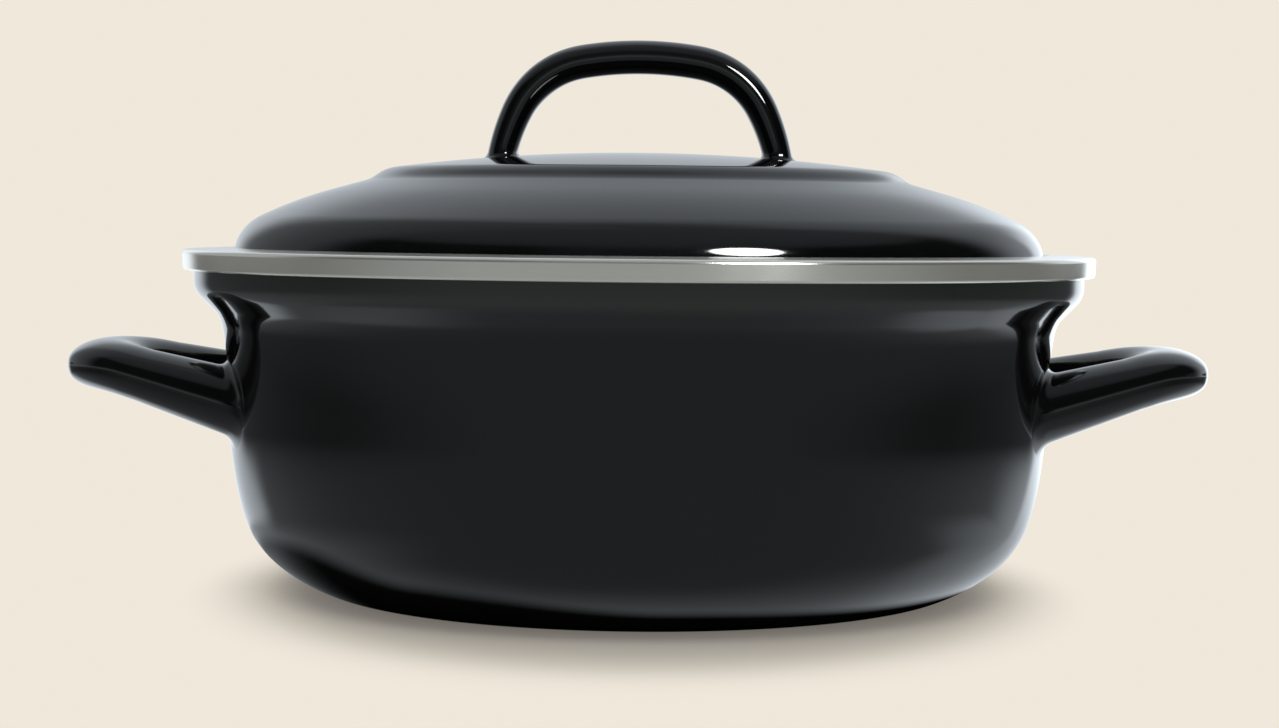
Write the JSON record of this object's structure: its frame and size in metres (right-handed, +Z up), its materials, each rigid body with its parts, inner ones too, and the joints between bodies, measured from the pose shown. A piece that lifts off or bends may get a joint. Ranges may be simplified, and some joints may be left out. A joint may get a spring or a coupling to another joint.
{
  "type": "braiser",
  "caption": "Low round braiser of black enamelled pressed steel with a bare steel rim, a hollow loop handle on each side and a lift-off domed lid with a bow handle.",
  "frame": {"origin": "centre of the standing face, midway between the side handles", "axes": "+Z up through the middle of the lid; +X through the right-hand side handle; +Y away from the viewer of the picture"},
  "size_m": [0.3792, 0.3, 0.1814],
  "materials": {
    "black_enamel": "glossy black vitreous enamel on pressed steel",
    "bare_steel": "satin stainless steel, faintly brushed along its run"
  },
  "bodies": {
    "pot": {"pot_shell": "black_enamel", "pot_rim_ring": "bare_steel", "left_handle_upper_shell": "black_enamel", "left_handle_lower_shell": "black_enamel", "left_handle_front_weld": "black_enamel", "left_handle_back_weld": "black_enamel", "right_handle_upper_shell": "black_enamel", "right_handle_lower_shell": "black_enamel", "right_handle_front_weld": "black_enamel", "right_handle_back_weld": "black_enamel"},
    "lid": {"lid_shell": "black_enamel", "lid_handle_outer_shell": "black_enamel", "lid_handle_inner_shell": "black_enamel", "lid_handle_left_weld": "black_enamel", "lid_handle_right_weld": "black_enamel"}
  },
  "joints": [
    {"name": "lid_lift", "type": "slide", "parent": "pot", "child": "lid", "axis": [0, 0, 1], "range_m": [0, 0.2]}
  ]
}
